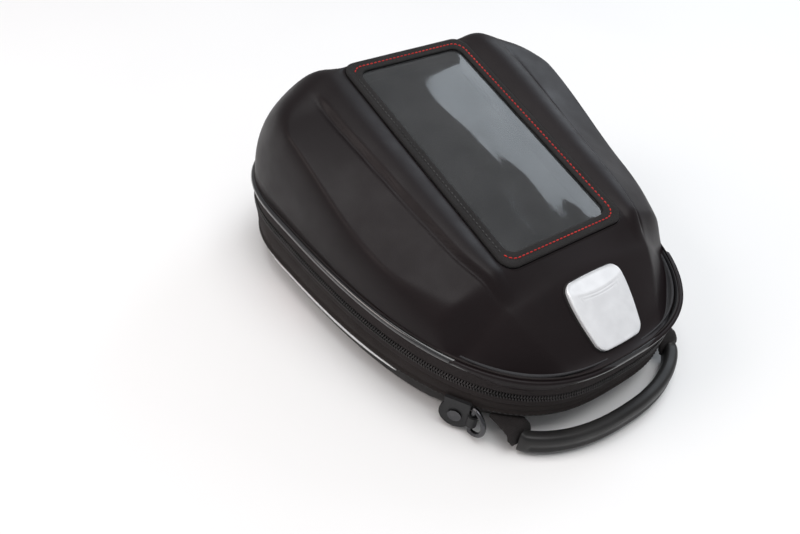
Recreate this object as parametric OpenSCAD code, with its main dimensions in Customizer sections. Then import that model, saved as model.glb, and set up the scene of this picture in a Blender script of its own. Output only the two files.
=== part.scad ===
// Hard-shell motorcycle tank bag with a smartphone window and a quick-lock ring on its underside.
// Millimetres. +Z up, +Y from the handle end to the hinge end, origin at the ring socket's mouth.

/* [Body outline] */
// Half of the body's width at its widest station
half_width = 116; // [110:1:120]
// Length from the nose to the widest station
nose_length = 200; // [190:1:210]
// Length from the widest station to the hinge end
tail_length = 86; // [80:1:92]
// Exponent of the superellipse that the outline follows
outline_power = 2.8; // [2.6:0.1:3.0]

/* [Heights] */
// Height of the piping at the nose
piping_z = 50; // [48:1:54]
// Rise of the piping per millimetre towards the hinge end
piping_rise = 0.036; // [0.02:0.002:0.04]
// Distance from the piping down to the zip's parting line
parting_drop = 14; // [13:1:15]
// Height of the tray's top edge
tray_top = 21; // [20:1:22]

/* [Shell] */
// Thickness of the moulded lid shell
shell_wall = 3; // [2.5:0.5:3.5]
// Thickness of the moulded base tray
tray_wall = 3.5; // [3:0.5:4]
// Piping radius
piping_r = 2.2; // [1.8:0.1:2.4]

/* [Window] */
// Half of the window frame's width
frame_half_w = 51; // [48:1:52]
// Half of the window frame's length along the slope
frame_half_l = 89; // [86:1:90]
// Width of the frame's band
frame_band = 9; // [7:1:11]
// Depth of the phone pocket below the shell
pocket_depth = 14; // [12:1:16]

/* [Quick lock] */
// Radius of the socket that takes the tank flange
socket_r = 63; // [62.6:0.1:63.4]
// Outer radius of the lock ring
lock_r = 76.5; // [75:0.5:78]
// Travel of the latch bolt
latch_travel = 5; // [4.5:0.5:5]

/* [Handle] */
// Half of the grip's span
grip_half = 68; // [66:1:70]
// Station of the middle of the grip
grip_y = -154.5; // [-156:0.5:-153]

/* [Hidden] */

body_length = nose_length + tail_length;
nose_y = -body_length / 2;
wide_y = nose_y + nose_length;
stations = 80;
// Half-angle of the hinge zone, which has fabric in place of the zip
hinge_zone = 13.5;
deck_centre_y = wide_y - 40;

// Gap from the outline to the lid's outer face at its foot
lid_inset = 1.2;
// Where the lid's rings lie: fractions up the wall, then fractions of the way out from the middle
wall_steps = [0, 0.03, 0.1, 0.22, 0.4, 0.65, 1];
deck_steps = [0.9, 0.8, 0.68, 0.55, 0.4, 0.24, 0.1];

// Window plane, a straight ramp between two heights of the deck
window_y0 = -77;
window_z0 = 90.5;
window_y1 = 89;
window_z1 = 133;
window_slope = atan((window_z1 - window_z0) / (window_y1 - window_y0));
window_y = (window_y0 + window_y1) / 2;
window_z = (window_z0 + window_z1) / 2;

// Badge plane on the nose panel
badge_y = -115.5;
badge_z = 68;
badge_slope = 37;

// Heights of the ring socket and its seat
socket_depth = 5;
ring_top = 10;
tray_floor = 3;
pedestal_r = 81;
screw_circle_r = 69.5;
// Back face of the latch bolt at rest
bolt_back = 66.2;
screw_angles = [for (i = [0:5]) 60 * i];

// Line about which the handle's straps bend, and their middle
strap_y = -126.5;
strap_z = 17.2;
strap_x = 69;
strap_half = 8.5;
strap_thick = 2.4;
tab_y = -100;
tab_z = 13;
tab_lug = 10.5;
ring_bar = 9.5;
ring_wire = 1.6;
slider_y = [57, 42];

function mix(a, b, t) = a + (b - a) * t;
function smooth(a, b, v) = let (t = min(1, max(0, (v - a) / (b - a)))) t * t * (3 - 2 * t);
function sgn(v) = v < 0 ? -1 : 1;

// ---- Outline and heights ----
function end_len(y) = y < wide_y ? nose_length : tail_length;
function outline(a) = let (c = cos(a), s = sin(a), k = 2 / outline_power)
    [half_width * sgn(c) * pow(abs(c), k),
     wide_y + (s < 0 ? nose_length : tail_length) * sgn(s) * pow(abs(s), k)];
function gradient(p) = let (e = outline_power - 1, l = end_len(p[1]))
    [sgn(p[0]) * pow(abs(p[0]) / half_width, e) / half_width,
     sgn(p[1] - wide_y) * pow(abs(p[1] - wide_y) / l, e) / l];
function outward(p) = gradient(p) / norm(gradient(p));
// Point of the outline at angle a, moved inward by d
function inset(a, d) = outline(a) - d * outward(outline(a));
// Outline point on the left or right at station y
function side_point(side, y) = [side * half_width
    * pow(1 - pow(abs(y - wide_y) / end_len(y), outline_power), 1 / outline_power), y];
function rim_z(y) = piping_z + piping_rise * (y - nose_y);
function parting_z(y) = rim_z(y) - parting_drop;
function noseness(y) = smooth(-70, -140, y);
function farness(y) = smooth(60, 130, y);

// Lid deck: the height of the top surface over (x, y), before the side walls round it down
function deck_spine(y) = lookup(y, [[-143, 52], [-137, 53.4], [-132, 56], [-97, 81.5],
    [window_y0, window_z0], [window_y1, window_z1], [98, 132], [143, 120]]);
function crease_x(y) = lookup(y, [[-143, 36], [-126, 45], [-107.5, 56], [-90, 62], [-75, 65.5],
    [-59, 70], [-6, 75], [49, 80], [75, 81], [143, 82]]);
function deck(x, y) = let (b = crease_x(y), panel = smooth(window_y0, -95, y), v = abs(x))
    deck_spine(y) - 6 * panel * pow(x / b, 2)
    + (2 + 2 * smooth(-60, 80, y)) * (1 - panel) * exp(-pow((v - 66) / 9, 2))
    - max(0, v - b) * (0.44 - 0.3 * smooth(-30, 62, y))
    - 2 * (1 - panel) * smooth(85, 65, y) * smooth(b - 8, b, v);
// Width over which the wall rounds into the deck, and how square the rounding is
function shoulder(y) = 7 + 41 * smooth(55, 118, y) + 16 * smooth(-35, -125, y);
function squareness(p) = mix(2.3, 1.1 + 1.1 * smooth(60, 105, abs(p[0])), smooth(75, 115, p[1]));
function wall_rise(f, p) = pow(1 - pow(1 - f, squareness(p)), 1 / squareness(p));

// ---- Lofts ----
// Closed polyhedron through rings of equal length, each ring a closed section, with flat end caps
module loft(rings) {
    n = len(rings[0]);
    m = len(rings);
    points = [for (r = rings) for (p = r) p];
    sides = [for (i = [0:m - 2]) for (j = [0:n - 1]) let (k = (j + 1) % n)
        each [[i * n + j, i * n + k, (i + 1) * n + k], [i * n + j, (i + 1) * n + k, (i + 1) * n + j]]];
    caps = [[for (j = [n - 1:-1:0]) j], [for (j = [0:n - 1]) (m - 1) * n + j]];
    polyhedron(points, concat(sides, caps), convexity = 6);
}

// The same, closed on itself instead of capped
module loop_loft(rings) {
    n = len(rings[0]);
    m = len(rings);
    points = [for (r = rings) for (p = r) p];
    sides = [for (i = [0:m - 1]) for (j = [0:n - 1]) let (k = (j + 1) % n, o = (i + 1) % m)
        each [[i * n + j, i * n + k, o * n + k], [i * n + j, o * n + k, o * n + j]]];
    polyhedron(points, sides, convexity = 6);
}

// Section point at angle a: d is the inset, and h the height there
function at(a, d, h) = let (p = inset(a, d)) [p[0], p[1], h];

// Flat band round the outline between two insets, and two heights above the parting line
module band(d_out, d_in, low, high, from_rim = false) {
    a0 = 90 + hinge_zone;
    sweep = 360 - 2 * hinge_zone;
    loft([for (i = [0:stations]) let (a = a0 + sweep * i / stations, y = outline(a)[1],
        base = parting_z(y), top = from_rim ? rim_z(y) + high : base + high)
        [at(a, d_out, base + low), at(a, d_out, top), at(a, d_in, top), at(a, d_in, base + low)]]);
}

// Inset of the tray's outer face at fraction t of its height
function tray_inset(t, y) = mix(13 + 9 * noseness(y), 4.5 + noseness(y) + 3 * farness(y), pow(t, 0.45));

// Solid cup that follows the tray's wall from height z0 to z1, moved inward by d
module tray_solid(z0, z1, d) {
    steps = 5;
    rings = [for (k = [steps:-1:0]) let (z = mix(z0, z1, pow(k / steps, 1.5)))
        [for (i = [0:stations - 1]) let (a = 360 * i / stations, y = outline(a)[1],
            t = max(0, z - tray_floor) / (tray_top - tray_floor))
            at(a, tray_inset(min(1, t), y) + d, z)]];
    loft(rings);
}

// Thin appliqué strip on the tray's wall, between stations y0 and y1
module wall_strip(side, y0, y1, z_mid, taper) {
    steps = 14;
    rings = [for (k = [0:steps]) let (s = k / steps, y = mix(y0, y1, s), p = side_point(side, y),
        z = mix(z_mid[0], z_mid[1], s), half = mix(taper[0], taper[1], s) * (0.25 + 0.75 * sin(180 * s)))
        [for (c = [[-half, 0.1], [half, 0.1], [half, 0.7], [-half, 0.7]])
            let (h = z + c[0], t = (h - tray_floor) / (tray_top - tray_floor),
                 q = p - (tray_inset(t, y) - c[1]) * outward(p)) [q[0], q[1], h]]];
    if (side > 0) loft([for (k = [steps:-1:0]) rings[k]]);
    else loft(rings);
}

// ---- Lid ----
// Rings of the lid surface with the wall moved inward by d and the deck lowered by drop
function lid_point(a, f, d, drop) = let (start = outline(a), q = inset(a, d),
    centre = [0, deck_centre_y], p = q + (centre - q) * f * shoulder(start[1]) / norm(centre - q),
    foot = rim_z(p[1]) + piping_r + 0.1 - max(0, drop - shell_wall))
    [p[0], p[1], foot + (deck(p[0], p[1]) - drop - foot) * wall_rise(f, start)];
function deck_point(a, k, d, drop) = let (q = lid_point(a, 1, d, drop),
    x = q[0] * k, y = mix(deck_centre_y, q[1], k)) [x, y, deck(x, y) - drop];
function lid_rings(d, drop) = concat(
    [for (f = wall_steps) [for (i = [0:stations - 1]) lid_point(360 * i / stations, f, d, drop)]],
    [for (k = deck_steps) [for (i = [0:stations - 1]) deck_point(360 * i / stations, k, d, drop)]]);

module lid_skin(d, drop, wall) {
    outer = lid_rings(d, drop);
    inner = lid_rings(d + wall, drop + wall);
    loft(concat([for (i = [len(outer) - 1:-1:0]) outer[i]], inner));
}

module on_window() {
    translate([0, window_y, window_z]) rotate([window_slope, 0, 0]) children();
}

module on_badge() {
    translate([0, badge_y, badge_z]) rotate([badge_slope, 0, 0]) children();
}

// Rectangle with round corners
module rounded(half_x, half_y, r) {
    hull() for (i = [-1, 1], j = [-1, 1])
        translate([i * (half_x - r), j * (half_y - r)]) circle(r, $fn = 32);
}

module window_slab(half_x, half_y, r, z0, z1) {
    on_window() translate([0, 0, z0]) linear_extrude(z1 - z0) rounded(half_x, half_y, r);
}

module lid_shell() {
    color("#1b1719") difference() {
        lid_skin(lid_inset, 0, shell_wall);
        window_slab(frame_half_w + 0.3, frame_half_l + 0.3, 10, -1, 30);
        window_slab(frame_half_w - frame_band, frame_half_l - frame_band, 7, -20, 30);
        badge_holes(2.1);
    }
}

module lid_lining() {
    color("#3a3a3d") difference() {
        lid_skin(lid_inset + shell_wall + 0.9, shell_wall + 1.1, 1);
        window_slab(frame_half_w - 1, frame_half_l + 1.5, 7, -40, 30);
        // room for the pocket's flap to swing out
        on_window() translate([-43, -frame_half_l - 11, -40]) cube([86, 14, 70]);
        badge_holes(5);
    }
}

module lid_piping() {
    sides = 8;
    color("#0c0c0d") loop_loft([for (i = [0:stations - 1]) let (a = 360 * i / stations,
        z = rim_z(outline(a)[1])) [for (j = [0:sides - 1]) let (b = 360 * (j + 0.5) / sides)
            at(a, 0.8 - piping_r * cos(b), z + piping_r * sin(b))]]);
}

module zip_tape_upper() {
    color("#141414") band(1.6, 2.8, 2.2, -piping_r - 0.1, true);
}

module zip_coil_upper() {
    color("#1d1d1f") band(1.0, 3.4, 0.2, 2.1);
}

module window_frame() {
    color("#101011") difference() {
        window_slab(frame_half_w, frame_half_l, 10, 0, 2.2);
        window_slab(frame_half_w - frame_band, frame_half_l - frame_band, 7, -1, 4);
    }
}

module window_film() {
    color("#8a8f94", 0.4)
        window_slab(frame_half_w - frame_band + 4, frame_half_l - frame_band + 4, 8, -0.9, -0.1);
}

// Tray below the window that holds the phone, with its mouth at the nose end
module phone_pocket() {
    wall = 1.5;
    half_x = frame_half_w - 3;
    half_y = frame_half_l - 3;
    color("#2a2a2c") difference() {
        window_slab(half_x, half_y, 6, -4.5 - pocket_depth, -4.5);
        window_slab(half_x - wall, half_y - wall, 5, -4.5 - pocket_depth + wall, 0);
        on_window() translate([-38, -half_y - 5, -3 - pocket_depth]) cube([76, 12, 11]);
    }
}

module pocket_flap() {
    color("#242426") on_window()
        translate([-41, -frame_half_l + 3 - 2.3, -4.5 - pocket_depth]) cube([82, 1.8, 13]);
}

// Outline of the badge: a soft rectangle, wider at the top, with slightly bulging sides
module badge_outline(grow) {
    offset(r = 4 + grow, $fn = 48) polygon([[-14.5, -19], [14.5, -19], [17.8, -4], [19, 8], [18.4, 16.5],
        [-18.4, 16.5], [-19, 8], [-17.8, -4]]);
}

module badge_plate() {
    color("#c9cbce") on_badge() {
        translate([0, 0, 0.3]) linear_extrude(2.2) badge_outline(0);
        translate([0, 0, 2.5]) linear_extrude(0.9) badge_outline(-1.2);
    }
}

module badge_holes(r) {
    on_badge() for (y = [-12, 12]) translate([0, y, -14]) cylinder(h = 14.2, r = r, $fn = 32);
}

// Two studs on the badge's back, each with a push-on washer under the shell
module badge_studs() {
    color("#8d8f92") on_badge() for (y = [-12, 12]) translate([0, y, 0]) {
        translate([0, 0, -8]) cylinder(h = 8.3, r = 2, $fn = 32);
        translate([0, 0, -6.6]) cylinder(h = 1, r = 4.5, $fn = 32);
    }
}

// ---- Base ----
module base_tray() {
    color("#1a1718") difference() {
        tray_solid(tray_floor, tray_top, 0);
        difference() {
            tray_solid(tray_floor + tray_wall, tray_top + 1, tray_wall);
            cylinder(h = ring_top + tray_wall, r = pedestal_r, $fn = 96);
        }
        translate([0, 0, -1]) cylinder(h = ring_top + 1.1, r = lock_r + 0.4, $fn = 96);
        // trench for the release strap
        translate([-9, 60, -1]) cube([18, 90, tray_floor + 3]);
        for (a = screw_angles) rotate(a) translate([screw_circle_r, 0, 0])
            cylinder(h = 20, r = 2.6, $fn = 32);
    }
}

module gusset_band() {
    color("#151314") loop_loft([for (i = [0:stations - 1]) let (a = 360 * i / stations,
        y = outline(a)[1], low = 2.6 + 3 * farness(y), top = parting_z(y) - 6.6)
        [at(a, low, tray_top + 0.1), at(a, 2, top), at(a, 4, top), at(a, low + 2, tray_top + 0.1)]]);
}

module zip_tape_lower() {
    color("#141414") band(1.6, 2.8, -6.5, -2.2);
}

module zip_coil_lower() {
    color("#1d1d1f") band(1.0, 3.4, -2.1, -0.2);
}

module base_lining() {
    color("#3a3a3d") loop_loft([for (i = [0:stations - 1]) let (a = 360 * i / stations,
        y = outline(a)[1], low = tray_inset(0.3, y) + tray_wall + 0.4, top = parting_z(y) - 6.6,
        mid = 8.8 + noseness(y) + 3 * farness(y))
        [at(a, low, 9), at(a, mid, tray_top), at(a, 6, top), at(a, 7, top),
         at(a, mid + 1, tray_top), at(a, low + 1, 9)]]);
}

module floor_board() {
    color("#2e2e31") translate([0, 0, 18.6]) linear_extrude(3.6)
        polygon([for (i = [0:stations - 1]) let (a = 360 * i / stations)
            inset(a, 12.5 + 3 * farness(outline(a)[1]))]);
}

module stiffener_plate() {
    color("#4a4b4d") translate([0, 0, ring_top + tray_wall + 0.1]) difference() {
        cylinder(h = 2, r = 77, $fn = 96);
        for (a = screw_angles) rotate(a) translate([screw_circle_r, 0, -1])
            cylinder(h = 4, r = 2.6, $fn = 32);
    }
}

// Housing on the underside: a socket for the tank flange, with a pocket for the latch at the back
module lock_ring() {
    color("#202123") difference() {
        cylinder(h = ring_top, r = lock_r, $fn = 96);
        translate([0, 0, -1]) cylinder(h = socket_depth + 1, r = socket_r, $fn = 96);
        translate([0, 0, -1]) cylinder(h = 9, r = socket_r - 3, $fn = 96);
        translate([0, 0, -1]) cylinder(h = 20, r = 42, $fn = 96);
        // latch channel, the slot for its wings, the spring pockets and the strap's way out
        translate([-12.3, 50, 5.2]) cube([24.6, bolt_back + latch_travel + 1.3 - 50, 3.1]);
        translate([-20.5, 61.6, 5.2]) cube([41, latch_travel + 3, 3.1]);
        for (s = [-1, 1]) translate([s * 17.5 - 2, 61.6, 5.2]) cube([4, 10.3, 3.1]);
        translate([-8, 62, -1]) cube([16, 20, 6.3]);
        for (a = screw_angles) rotate(a) translate([screw_circle_r, 0, 3])
            cylinder(h = 20, r = 2.05, $fn = 32);
    }
}

module lock_screws() {
    head = ring_top + tray_wall + 2.2;
    color("#9a9c9f") for (a = screw_angles) rotate(a) translate([screw_circle_r, 0, 0]) {
        translate([0, 0, 3.6]) cylinder(h = head - 3.6, r = 2, $fn = 32);
        translate([0, 0, head]) difference() {
            cylinder(h = 2.4, r = 4.3, $fn = 32);
            translate([0, 0, 1]) cylinder(h = 2, r = 1.6, $fn = 6);
        }
    }
}

module base_pads() {
    color("#262626") for (s = [-1, 1], q = [[62, -78], [78, 84]])
        translate([s * q[0], q[1], 0]) cylinder(h = tray_floor - 0.05, r = 9, $fn = 48);
}

module silver_trims() {
    color("#c4c7ca") for (s = [-1, 1]) wall_strip(s, 92, -58, [10.5, 15], [1.6, 2.4]);
}

module red_trims() {
    color("#c4281f") for (s = [-1, 1]) wall_strip(s, 76, 8, [15.2, 18], [1.2, 1.9]);
}

// Fabric between the lid and the base where the zip stops
module hinge_fabric() {
    steps = 8;
    color("#141414") loft([for (k = [0:steps])
        let (a = 90 - hinge_zone + 0.5 + (2 * hinge_zone - 1) * k / steps, y = outline(a)[1])
        [at(a, 1.6, parting_z(y) - 6.5), at(a, 1.6, rim_z(y) - piping_r - 0.1),
         at(a, 2.8, rim_z(y) - piping_r - 0.1), at(a, 2.8, parting_z(y) - 6.5)]]);
}

// Local frame on the wall at station y, inset by d: X towards the nose, Y outward
module on_wall(side, y, d, z) {
    n = outward(side_point(1, y));
    p = side_point(1, y) - d * n;
    mirror([side < 0 ? 1 : 0, 0, 0]) translate([p[0], p[1], z]) rotate(atan2(-n[0], n[1])) children();
}

module on_tab(side) {
    on_wall(side, tab_y, -0.5, tab_z) children();
}

module ring_tab() {
    difference() {
        union() {
            rotate([90, 0, 0]) translate([0, 0, -1]) cylinder(h = 2.4, r = 10, $fn = 64);
            translate([-8, -1.4, 0]) cube([16, 2.4, 12]);
            translate([0, -1.4, -4]) cube([tab_lug, 2.4, 8]);
            translate([tab_lug, 0, -4]) cylinder(h = 8, r = 3.2, $fn = 48);
        }
        rotate([90, 0, 0]) translate([0, 0, -5]) cylinder(h = 10, r = 2.15, $fn = 32);
        translate([tab_lug, 0, -5]) cylinder(h = 10, r = ring_wire + 0.08, $fn = 48);
    }
}

module eyelet() {
    rotate([90, 0, 0]) {
        translate([0, 0, -2.1]) cylinder(h = 1, r = 4.2, $fn = 48);
        translate([0, 0, -1.5]) cylinder(h = 3.2, r = 2.1, $fn = 32);
        translate([0, 0, 1.5]) cylinder(h = 0.8, r = 4, $fn = 48);
    }
}

// D-ring: a straight bar in the tab's lug and a half-round bow, swung to point at the nose
module d_ring() {
    translate([tab_lug, 0, 0]) rotate(30) {
        translate([0, 0, -ring_bar]) cylinder(h = 2 * ring_bar, r = ring_wire, $fn = 48);
        rotate([90, 0, 0]) rotate(-90) rotate_extrude(angle = 180, $fn = 64)
            translate([ring_bar, 0]) circle(ring_wire, $fn = 32);
        for (s = [-1, 1]) translate([0, 0, s * ring_bar]) sphere(ring_wire, $fn = 32);
    }
}

module ring_tab_left() { color("#1c1c1e") on_tab(-1) ring_tab(); }
module ring_tab_right() { color("#1c1c1e") on_tab(1) ring_tab(); }
module tab_eyelets() { color("#77797c") for (s = [-1, 1]) on_tab(s) eyelet(); }
module d_ring_left() { color("#2b2c2e") on_tab(-1) d_ring(); }
module d_ring_right() { color("#2b2c2e") on_tab(1) d_ring(); }

// ---- Handle ----
// Middle of the grip at angle b, from one strap end (-90) to the other (90)
function grip_path(b) = [grip_half * sgn(b) * pow(abs(sin(b)), 0.85),
    grip_y + 21 * (1 - pow(abs(cos(b)), 1.6)), 9.5];

// Webbing from the bending line to the grip's end
module handle_strap(side) {
    start = [side * strap_x, strap_y - 1.3, strap_z];
    stop = grip_path(side * 90) + [0, 2.2, 0];
    steps = 5;
    rings = [for (k = [steps:-1:0]) let (t = k / steps, p = mix(start, stop, t),
        lean = mix(10, 80, t), up = strap_thick / 2 * cos(lean), back = strap_thick / 2 * sin(lean))
        [for (c = [[-1, -1], [1, -1], [1, 1], [-1, 1]])
            [p[0] + c[0] * strap_half, p[1] - c[1] * back, p[2] + c[1] * up]]];
    loft(rings);
}

module handle_strap_left() { color("#121212") handle_strap(-1); }
module handle_strap_right() { color("#121212") handle_strap(1); }

module handle_grip() {
    steps = 32;
    color("#191919") loft([for (k = [0:steps]) let (b = mix(-90, 90, k / steps), p = grip_path(b),
        t = grip_path(min(90, b + 0.5)) - grip_path(max(-90, b - 0.5)), n = [-t[1], t[0], 0] / norm(t))
        [for (j = [0:11]) let (e = 30 * j + 15, c = cos(e), h = sin(e))
            p + n * 4.5 * sgn(c) * pow(abs(c), 0.7) + [0, 0, 6.9 * sgn(h) * pow(abs(h), 0.7)]]]);
}

// Webbing ends sewn under the gusset, up to the bending line
module handle_anchors() {
    color("#121212") for (s = [-1, 1]) mirror([s < 0 ? 1 : 0, 0, 0])
        translate([0, 0, strap_z - strap_thick / 2]) linear_extrude(strap_thick)
            polygon(concat([[strap_x - strap_half, strap_y], [strap_x + strap_half, strap_y]],
                [for (y = [-114:-3:-126]) side_point(1, y) - 6.2 * outward(side_point(1, y))]));
}

// ---- Quick lock ----
module latch_bolt() {
    color("#2d2e31") {
        translate([-12, bolt_back - 7.6, 5.5]) cube([24, 7.6, 2.5]);
        translate([-20, 62, 5.5]) cube([40, 1.6, 2.5]);
    }
}

module release_strap() {
    color("#a3241c") {
        translate([-7.5, 63.5, 1.2]) cube([15, 2.7, 4.3]);
        translate([-7.5, bolt_back, 1.2]) cube([15, 81, 1.9]);
    }
}

module latch_springs() {
    turns = 5;
    per_turn = 10;
    wire = 0.4;
    color("#b9bbbe") for (s = [-1, 1]) translate([s * 17.5, 63.6, 6.75]) rotate([-90, 0, 0])
        loft([for (i = [0:turns * per_turn]) let (a = 360 * i / per_turn,
            z = 0.45 + 7.3 * i / (turns * per_turn))
            [for (j = [0:4]) let (b = 72 * j) [(1.1 + wire * cos(b)) * cos(a),
                (1.1 + wire * cos(b)) * sin(a), z - wire * sin(b)]]]);
}

// ---- Zip sliders ----
module on_slider(i) {
    y = slider_y[i];
    translate([half_width, y, parting_z(y)]) children();
}

module zip_slider() {
    color("#8b8d90") {
        translate([-0.6, -6, -3.6]) cube([1.7, 12, 7.2]);
        for (s = [-1, 1]) translate([1, s * 3.4 - 0.7, -1.2]) cube([3, 1.4, 2.4]);
        translate([2.9, -4, 0]) rotate([-90, 0, 0]) cylinder(h = 8, r = 0.8, $fn = 32);
    }
}

module zip_pull() {
    color("#74767a") difference() {
        union() {
            translate([2.9, -2.3, 0]) rotate([-90, 0, 0]) cylinder(h = 4.6, r = 1.7, $fn = 32);
            translate([2.2, -3.9, -19]) cube([1.4, 7.8, 14.5]);
            translate([2.2, -2.3, -5]) cube([1.4, 4.6, 4]);
        }
        translate([2.9, -5, 0]) rotate([-90, 0, 0]) cylinder(h = 10, r = 0.88, $fn = 32);
        translate([0, 0, -15]) rotate([0, 90, 0]) cylinder(h = 6, r = 2, $fn = 32);
    }
}

module zip_slider_a() { on_slider(0) zip_slider(); }
module zip_slider_b() { on_slider(1) zip_slider(); }
module zip_pull_a() { on_slider(0) zip_pull(); }
module zip_pull_b() { on_slider(1) zip_pull(); }

base_tray();
gusset_band();
zip_tape_lower();
zip_coil_lower();
base_lining();
floor_board();
stiffener_plate();
lock_ring();
lock_screws();
base_pads();
silver_trims();
red_trims();
hinge_fabric();
ring_tab_left();
ring_tab_right();
tab_eyelets();
handle_anchors();
latch_bolt();
release_strap();
latch_springs();
d_ring_left();
d_ring_right();
handle_strap_left();
handle_strap_right();
handle_grip();
lid_shell();
lid_lining();
lid_piping();
zip_tape_upper();
zip_coil_upper();
window_frame();
window_film();
phone_pocket();
badge_plate();
badge_studs();
pocket_flap();
zip_slider_a();
zip_slider_b();
zip_pull_a();
zip_pull_b();
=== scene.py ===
"""Looks of a hard-shell motorcycle tank bag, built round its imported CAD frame.

Shapes are worked out in millimetres, in the frame's axes, and put into the scene in metres.
"""
import math

import bmesh
import bpy
import numpy as np
from mathutils import Matrix, Vector, noise


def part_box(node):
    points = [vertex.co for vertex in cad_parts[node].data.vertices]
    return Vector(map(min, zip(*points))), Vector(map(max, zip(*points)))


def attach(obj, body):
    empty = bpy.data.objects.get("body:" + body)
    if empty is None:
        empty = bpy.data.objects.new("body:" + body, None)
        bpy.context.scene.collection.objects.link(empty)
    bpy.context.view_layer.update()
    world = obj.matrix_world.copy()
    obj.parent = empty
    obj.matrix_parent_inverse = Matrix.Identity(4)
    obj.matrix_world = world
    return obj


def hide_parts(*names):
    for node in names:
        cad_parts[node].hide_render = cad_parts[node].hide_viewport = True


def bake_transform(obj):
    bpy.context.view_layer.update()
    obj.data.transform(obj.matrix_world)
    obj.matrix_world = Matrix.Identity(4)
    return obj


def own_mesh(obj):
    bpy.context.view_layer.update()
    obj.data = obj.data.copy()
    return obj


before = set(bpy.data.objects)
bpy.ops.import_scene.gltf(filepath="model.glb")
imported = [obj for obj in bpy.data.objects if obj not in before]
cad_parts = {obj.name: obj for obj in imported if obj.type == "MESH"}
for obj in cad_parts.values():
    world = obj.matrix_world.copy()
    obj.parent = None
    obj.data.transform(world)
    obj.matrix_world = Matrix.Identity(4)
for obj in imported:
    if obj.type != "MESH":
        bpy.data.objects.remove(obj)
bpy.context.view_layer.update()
MM = 0.001


# ---- Numbers from the frame, in millimetres ----
def mm_box(node):
    low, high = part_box(node)
    return np.array(low) / MM, np.array(high) / MM


PIPE_R = 2.2
PIPE_INSET = 0.8
pipe_low, pipe_high = mm_box("lid_piping")
PIPE_REACH = PIPE_R * math.cos(math.pi / 8)
HALF_W = pipe_high[0] + PIPE_INSET - PIPE_REACH
NOSE_Y = pipe_low[1] - PIPE_INSET + PIPE_REACH
TAIL_Y = pipe_high[1] + PIPE_INSET - PIPE_REACH
WIDE_Y = NOSE_Y + 200
POWER = 2.8
RIM_NOSE = pipe_low[2] + PIPE_REACH
RIM_TAIL = pipe_high[2] - PIPE_REACH
PARTING_DROP = 14
TRAY_LOW = mm_box("base_tray")[0][2]
TRAY_TOP = mm_box("gusset_band")[0][2] - 0.1
SHELL_INSET = 1.2
SHELL_WALL = 3
HINGE_ZONE = math.radians(13.5)

WINDOW_SLOPE = math.atan(42.5 / 166)
WINDOW_AT = Vector((0, 6, 111.75))
FRAME_X, FRAME_Y, BAND = 51, 89, 9
BADGE_SLOPE = math.radians(37)
BADGE_AT = Vector((0, -115.5, 68))
GRIP_HALF, GRIP_Y, GRIP_Z = 68, -154.5, 9.5
STRAP_X, STRAP_Y, STRAP_Z, STRAP_HALF = 69, -126.5, 17.2, 8.5
POCKET_X, POCKET_Y, POCKET_TOP, POCKET_FLOOR = 48, 86, -4.5, -18.5
MOUTH_HALF, FLAP_HALF, FLAP_DEEP = 38, 40.5, 12.5


# ---- Small maths ----
def mix(a, b, t):
    return a + (b - a) * t


def smooth(a, b, v):
    t = np.clip((v - a) / (b - a), 0, 1)
    return t * t * (3 - 2 * t)


def signed_power(v, k):
    return np.sign(v) * np.abs(v) ** k


def xyz(x, y, z):
    """Rows of coordinates; one that is the same for every point may be a single number."""
    return np.stack(np.broadcast_arrays(x, y, z), -1)


def soft_curve(points, blur):
    """A function through (place, value) points, its corners rounded over about blur millimetres."""
    x, y = np.array(points, float).T
    reach = 4 * blur
    start = y[0] - (y[1] - y[0]) / (x[1] - x[0]) * reach
    stop = y[-1] + (y[-1] - y[-2]) / (x[-1] - x[-2]) * reach
    x = np.concatenate(([x[0] - reach], x, [x[-1] + reach]))
    y = np.concatenate(([start], y, [stop]))
    step = 0.5
    places = np.arange(x[0], x[-1] + step, step)
    offsets = np.arange(-3 * blur, 3 * blur + step, step)
    kernel = np.exp(-0.5 * (offsets / blur) ** 2)
    padded = np.pad(np.interp(places, x, y), len(kernel) // 2, mode="reflect", reflect_type="odd")
    values = np.convolve(padded, kernel / kernel.sum(), mode="same")
    values = values[len(kernel) // 2:len(kernel) // 2 + len(places)]
    return lambda v: np.interp(v, places, values)


def inside_loop(x, y, loop):
    """Whether a point lies inside a closed loop, counted by the sides that a line from it crosses."""
    ax, ay = loop.T
    bx, by = np.roll(loop, -1, 0).T
    crosses = ((ay > y) != (by > y)) & (x < ax + (y - ay) * (bx - ax) / np.where(by == ay, 1, by - ay))
    return crosses.sum() % 2 == 1


# ---- Body outline and heights ----
def end_length(y):
    return np.where(y < WIDE_Y, WIDE_Y - NOSE_Y, TAIL_Y - WIDE_Y)


def outline(a):
    s = np.sin(a)
    length = np.where(s < 0, WIDE_Y - NOSE_Y, TAIL_Y - WIDE_Y)
    x = HALF_W * signed_power(np.cos(a), 2 / POWER)
    return x, WIDE_Y + length * signed_power(s, 2 / POWER)


def outward(x, y):
    length = end_length(y)
    gx = signed_power(x / HALF_W, POWER - 1) / HALF_W
    gy = signed_power((y - WIDE_Y) / length, POWER - 1) / length
    size = np.hypot(gx, gy)
    return gx / size, gy / size


def inset(a, d):
    x, y = outline(a)
    nx, ny = outward(x, y)
    return x - d * nx, y - d * ny


def ring(a, d, z):
    """Points at the outline's angles a, moved d inward, at height z; d and z are numbers or arrays."""
    return xyz(*inset(a, d), z)


def side_x(y):
    return HALF_W * (1 - np.abs((y - WIDE_Y) / end_length(y)) ** POWER) ** (1 / POWER)


def rim_z(y):
    return mix(RIM_NOSE, RIM_TAIL, (y - NOSE_Y) / (TAIL_Y - NOSE_Y))


def parting_z(y):
    return rim_z(y) - PARTING_DROP


def noseness(y):
    return smooth(-70, -140, y)


def farness(y):
    return smooth(60, 130, y)


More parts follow.
